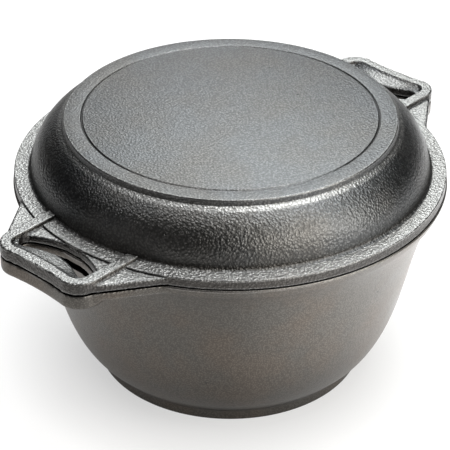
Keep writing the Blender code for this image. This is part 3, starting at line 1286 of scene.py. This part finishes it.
@dataclass(frozen=True)
class Studio:
    """Floor, backdrop and lamps: a white sweep, soft light from the right and the back, and a dark left side.

    Attributes:
        floor_size: Half width of the floor.
        grey: The floor's own colour, which takes the shadow.
        near_glow: How white the floor looks at the pot, lowered there as painted shade of the pot.
        far_glow: How white it looks a little way off.
        glow_from: How far from the axis it begins to get whiter.
        glow_to: How far from the axis it is at far_glow.
        white_from: How far from the axis it begins to go on to full white.
        white_to: How far from the axis it is white.
        lit_side: The side on which the iron shows a painted reflection of a bright floor.
        mirror_dark: How bright the mirrored floor is in the middle and on the other side.
        mirror_bright: How bright it is on the lit side.
        mirror_to: How far to the lit side it is that bright.
        shade: How much of that is left in the pot's own shade.
        shade_from: How far from the axis the shade begins to end.
        shade_to: How far from the axis it ends.
        fade: How much is left far off.
        fade_from: How far from the axis the mirrored floor begins to fade.
        fade_to: How far from the axis it has faded.
        ambient: Light of the world outside the lamps.
    """

    floor_size: float = 6.0
    grey: float = 0.3
    near_glow: float = 0.57
    far_glow: float = 0.80
    glow_from: float = 0.095
    glow_to: float = 0.155
    white_from: float = 0.3
    white_to: float = 1.2
    lit_side: float = math.radians(-47)
    mirror_dark: float = 0.85
    mirror_bright: float = 2.2
    mirror_to: float = 0.15
    shade: float = 0.25
    shade_from: float = 0.082
    shade_to: float = 0.17
    fade: float = 0.15
    fade_from: float = 0.3
    fade_to: float = 0.8
    ambient: float = 0.03

    def floor(self) -> bpy.types.Object:
        """Makes the white floor, which keeps the pot's shadow.

        Returns:
            The floor.
        """
        mesh = bmesh.new()
        bmesh.ops.create_grid(mesh, x_segments=1, y_segments=1, size=self.floor_size)
        floor = new_object("floor", mesh)
        floor.data.materials.append(self.sweep())
        return floor

    def mirrored(self, tree: NodeTree, where: object, away: object) -> bpy.types.NodeSocket:
        """How bright the iron sees the floor, a painted reflection: bright on the lit side, with painted
        shade under the pot, dark far off.

        Args:
            tree: The floor's tree.
            where: The place on the floor.
            away: Its distance from the axis.

        Returns:
            The strength.
        """
        lit = (math.cos(self.lit_side), math.sin(self.lit_side), 0)
        along = tree.add("ShaderNodeVectorMath", {0: where, 1: lit}, operation="DOT_PRODUCT")
        side = tree.ramp(along.outputs["Value"], 0.0, self.mirror_to, self.mirror_dark, self.mirror_bright)
        shade = tree.ramp(away, self.shade_from, self.shade_to, self.shade, 1.0)
        fade = tree.ramp(away, self.fade_from, self.fade_to, 1.0, self.fade)
        return tree.maths("MULTIPLY", side, tree.maths("MULTIPLY", shade, fade))

    def sweep(self) -> bpy.types.Material:
        """Makes the floor's material, which looks white by itself, has painted shade near the pot and still
        takes the shadow.

        Returns:
            The material.
        """
        made = bpy.data.materials.new("white sweep")
        made.use_nodes = True
        tree = NodeTree(made.node_tree)
        nodes = made.node_tree.nodes
        nodes.remove(nodes["Principled BSDF"])
        where = tree.add("ShaderNodeTexCoord").outputs["Object"]
        away = tree.add("ShaderNodeVectorMath", {0: where}, operation="LENGTH").outputs["Value"]
        # Painted shade: the floor's own glow is lower near the pot, standing in for the pot's soft shade.
        seen = tree.ramp(away, self.glow_from, self.glow_to, self.near_glow, self.far_glow)
        rest = tree.ramp(away, self.white_from, self.white_to, 0.0, 1.0 - self.far_glow)
        seen = tree.maths("ADD", seen, rest)
        path = tree.add("ShaderNodeLightPath").outputs
        glow = tree.maths("MULTIPLY", path["Is Camera Ray"], seen)
        # Painted reflection: only glossy rays see this glow, with painted light on the lit side and painted
        # shade by the pot.
        glow = tree.maths("MULTIPLY_ADD", path["Is Glossy Ray"], self.mirrored(tree, where, away), glow)
        light = tree.add("ShaderNodeEmission", {"Color": (1, 1, 1, 1), "Strength": glow})
        white = tree.add("ShaderNodeBsdfDiffuse", {"Color": (self.grey, self.grey, self.grey, 1)})
        both = tree.add("ShaderNodeAddShader", {0: light.outputs[0], 1: white.outputs[0]})
        made.node_tree.links.new(both.outputs[0], nodes["Material Output"].inputs["Surface"])
        return made

    def world(self) -> None:
        """Gives the world a white backdrop for what looks straight at it, and a low grey light."""
        world = bpy.data.worlds.new("studio")
        world.use_nodes = True
        bpy.context.scene.world = world
        tree = NodeTree(world.node_tree)
        ground = world.node_tree.nodes["Background"]
        path = tree.add("ShaderNodeLightPath").outputs
        strength = tree.maths("MAXIMUM", path["Is Camera Ray"], self.ambient)
        world.node_tree.links.new(strength, ground.inputs["Strength"])
        ground.inputs["Color"].default_value = (1, 1, 1, 1)

    def lamps(self) -> list[bpy.types.Object]:
        """Makes the lamps.

        Returns:
            The lamps.
        """
        warm = (1.0, 0.97, 0.91)
        cool = (0.96, 1.0, 1.0)
        panels = (
            Lamp("overhead_right", -47, 64, 0.9, 0.9, 11.0, cool),
            Lamp("overhead_front", -92, 64, 0.8, 0.8, 5.5, warm),
            Lamp("overhead_left", 133, 64, 0.8, 0.8, 5.0),
            Lamp("front_right", -72, 24, 0.9, 1.7, 27.0, warm),
            Lamp("front", -104, 25, 0.9, 1.1, 15.0, warm),
            Lamp("back", 38, 43, 0.9, 0.75, 12.0, cool),
            Lamp("back_low", 55, 20, 1.4, 0.8, 4.0),
            Lamp("overhead", 0, 80, 1.2, 1.2, 20.0),
            Lamp("back_right", 13, 46, 0.8, 0.8, 3.2, warm),
            Lamp("left_rim", 163, 15, 0.6, 0.6, 1.0),
        )
        return [panel.build() for panel in panels]

    def build(self) -> None:
        """Makes the whole studio."""
        self.floor()
        self.world()
        self.lamps()


def main() -> None:
    """Builds the camera, the studio and both castings."""
    logging.basicConfig(level=logging.INFO, format="%(name)s: %(message)s")
    bpy.context.scene.view_settings.view_transform = "Standard"
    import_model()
    for leftover in ("Cube", "Light", "Camera"):
        if leftover in bpy.data.objects:
            bpy.data.objects.remove(bpy.data.objects[leftover])
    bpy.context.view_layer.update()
    View().build()
    Studio().build()
    groups = IronGroups(grain_group(), pits_group(), seasoning_group(), edges_group())
    pot_iron = CastIron(
        "pot iron",
        colour=(0.108, 0.101, 0.092),
        brown=(0.124, 0.107, 0.092),
        wear_and_highlight=(0.30, 0.29, 0.28),
        roughness=0.38,
        pebble=1.1 * MM,
        depth=0.08 * MM,
        patch_size=45 * MM,
        pit_share=0.35,
        painted_glint=0.25,
    )
    lid_iron = CastIron(
        "lid iron",
        colour=(0.118, 0.121, 0.124),
        brown=(0.124, 0.121, 0.117),
        wear_and_highlight=(0.55, 0.55, 0.54),
        roughness=0.30,
        pebble=1.5 * MM,
        depth=0.28 * MM,
        patch_size=60 * MM,
        pit_share=0.2,
        coarse_below=143.5 * MM,
        coarse=1.4,
        fine_above=175.0 * MM,
        fine=0.55,
        painted_light=0.8,
        painted_glint=0.32,
    )
    Pot("pot_casting", "pot", "pot", "pot_iron").build(pot_iron.material(groups))
    SkilletLid("lid_casting", "skillet_lid", "lid", "lid_iron").build(lid_iron.material(groups))


if __name__ == "__main__":
    main()
